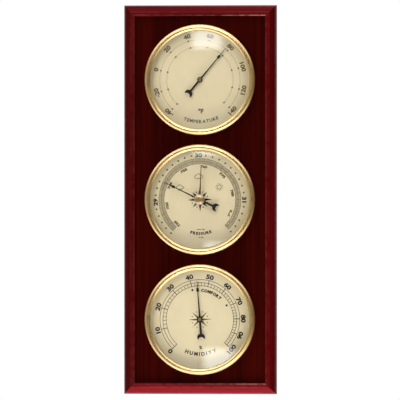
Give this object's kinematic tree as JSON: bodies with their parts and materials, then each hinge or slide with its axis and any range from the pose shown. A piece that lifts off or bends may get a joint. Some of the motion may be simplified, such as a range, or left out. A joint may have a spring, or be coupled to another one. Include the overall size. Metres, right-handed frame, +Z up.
{
  "type": "wall weather station",
  "caption": "Tall framed wooden wall board with round brass-rimmed thermometer, aneroid barometer with set hand, and hygrometer, one above the other.",
  "frame": {"origin": "centre of the board's back, on the wall", "axes": "+Z up, the dials face -Y, +X to the viewer's right; the wall is the plane Y = 0"},
  "size_m": [0.157, 0.0387, 0.4],
  "materials": {
    "panel_wood": "dark red-brown lacquered",
    "frame_wood": "red-brown lacquered",
    "brass": "polished",
    "dark_brass": "darkened",
    "glass": "clear",
    "dial_enamel": "cream, satin",
    "black_paint": "black, satin",
    "zinc_case": "zinc-plated steel",
    "zinc_plate": "zinc-plated",
    "steel": "bright",
    "rubber": "black, matt",
    "paper_coil": "laminated strip"
  },
  "bodies": {
    "board": {"panel": "panel_wood", "hanger_plate": "zinc_plate", "hanger_screws": "steel", "rail_top": "frame_wood", "rail_bottom": "frame_wood", "rail_left": "frame_wood", "rail_right": "frame_wood", "thermometer_case": "zinc_case", "thermometer_rubber_ring": "rubber", "thermometer_dial": "dial_enamel", "thermometer_bush": "brass", "thermometer_reveal": "dial_enamel", "thermometer_glass": "glass", "thermometer_bezel": "brass", "barometer_case": "zinc_case", "barometer_rubber_ring": "rubber", "barometer_dial": "dial_enamel", "barometer_bush": "brass", "barometer_reveal": "dial_enamel", "barometer_glass": "glass", "barometer_bezel": "brass", "hygrometer_case": "zinc_case", "hygrometer_rubber_ring": "rubber", "hygrometer_dial": "dial_enamel", "hygrometer_bush": "brass", "hygrometer_reveal": "dial_enamel", "hygrometer_glass": "glass", "hygrometer_bezel": "brass", "thermometer_coil": "steel", "hygrometer_coil": "paper_coil", "thermometer_bracket": "zinc_plate", "hygrometer_bracket": "zinc_plate", "barometer_base_plate": "brass", "barometer_bridge": "brass", "barometer_pillars": "brass", "barometer_rocker_bracket": "brass", "barometer_capsule": "steel", "barometer_stud": "steel", "barometer_main_spring": "steel", "barometer_chain": "steel", "barometer_hairspring": "steel", "set_hand_bush": "brass"},
    "thermometer_hand": {"thermometer_pointer": "black_paint", "thermometer_hub_cap": "brass", "thermometer_arbor": "steel"},
    "barometer_hand": {"barometer_pointer": "black_paint", "barometer_hub_cap": "brass", "barometer_arbor": "steel"},
    "hygrometer_hand": {"hygrometer_pointer": "black_paint", "hygrometer_hub_cap": "brass", "hygrometer_arbor": "steel"},
    "set_hand_and_knob": {"set_hand": "dark_brass", "set_knob": "brass"},
    "rocker": {"barometer_rocker": "steel"},
    "lever": {"barometer_lever": "steel"},
    "adjuster": {"barometer_adjuster": "steel"}
  },
  "joints": [
    {"name": "thermometer_pointer_turn", "type": "hinge", "parent": "board", "child": "thermometer_hand", "pos_m": [0, -0.0212, 0.123], "axis": [0, 1, 0], "range_deg": [-176.2, 93.8], "stiffness_Nm_per_rad": 0.002, "deforming": ["thermometer_coil"]},
    {"name": "barometer_pointer_turn", "type": "hinge", "parent": "board", "child": "barometer_hand", "pos_m": [0, -0.0212, 0], "axis": [0, 1, 0], "range_deg": [-75.4, 199.8], "stiffness_Nm_per_rad": 0.002, "deforming": ["barometer_hairspring", "barometer_chain"]},
    {"name": "hygrometer_pointer_turn", "type": "hinge", "parent": "board", "child": "hygrometer_hand", "pos_m": [0, -0.0212, -0.123], "axis": [0, 1, 0], "range_deg": [-132.8, 137.2], "stiffness_Nm_per_rad": 0.002, "deforming": ["hygrometer_coil"]},
    {"name": "set_hand_turn", "type": "hinge", "parent": "board", "child": "set_hand_and_knob", "pos_m": [0, -0.0236, 0], "axis": [0, 1, 0], "continuous": true},
    {"name": "barometer_rocker_tilt", "type": "hinge", "parent": "board", "child": "rocker", "pos_m": [0, -0.011, -0.031], "axis": [-1, 0, 0], "range_deg": [-6.84, 18.03]},
    {"name": "barometer_lever_tilt", "type": "hinge", "parent": "board", "child": "lever", "pos_m": [0, -0.0098, 0.022], "axis": [1, 0, 0], "range_deg": [-0.88, 2.31]},
    {"name": "adjuster_turn", "type": "hinge", "parent": "board", "child": "adjuster", "pos_m": [0, -0.0018, 0.024], "axis": [0, 1, 0], "range_deg": [-180, 180]}
  ],
  "couplings": [
    {"joint": "barometer_rocker_tilt", "follows": "barometer_pointer_turn", "ratio": 0.09},
    {"joint": "barometer_lever_tilt", "follows": "barometer_pointer_turn", "ratio": 0.011489}
  ]
}
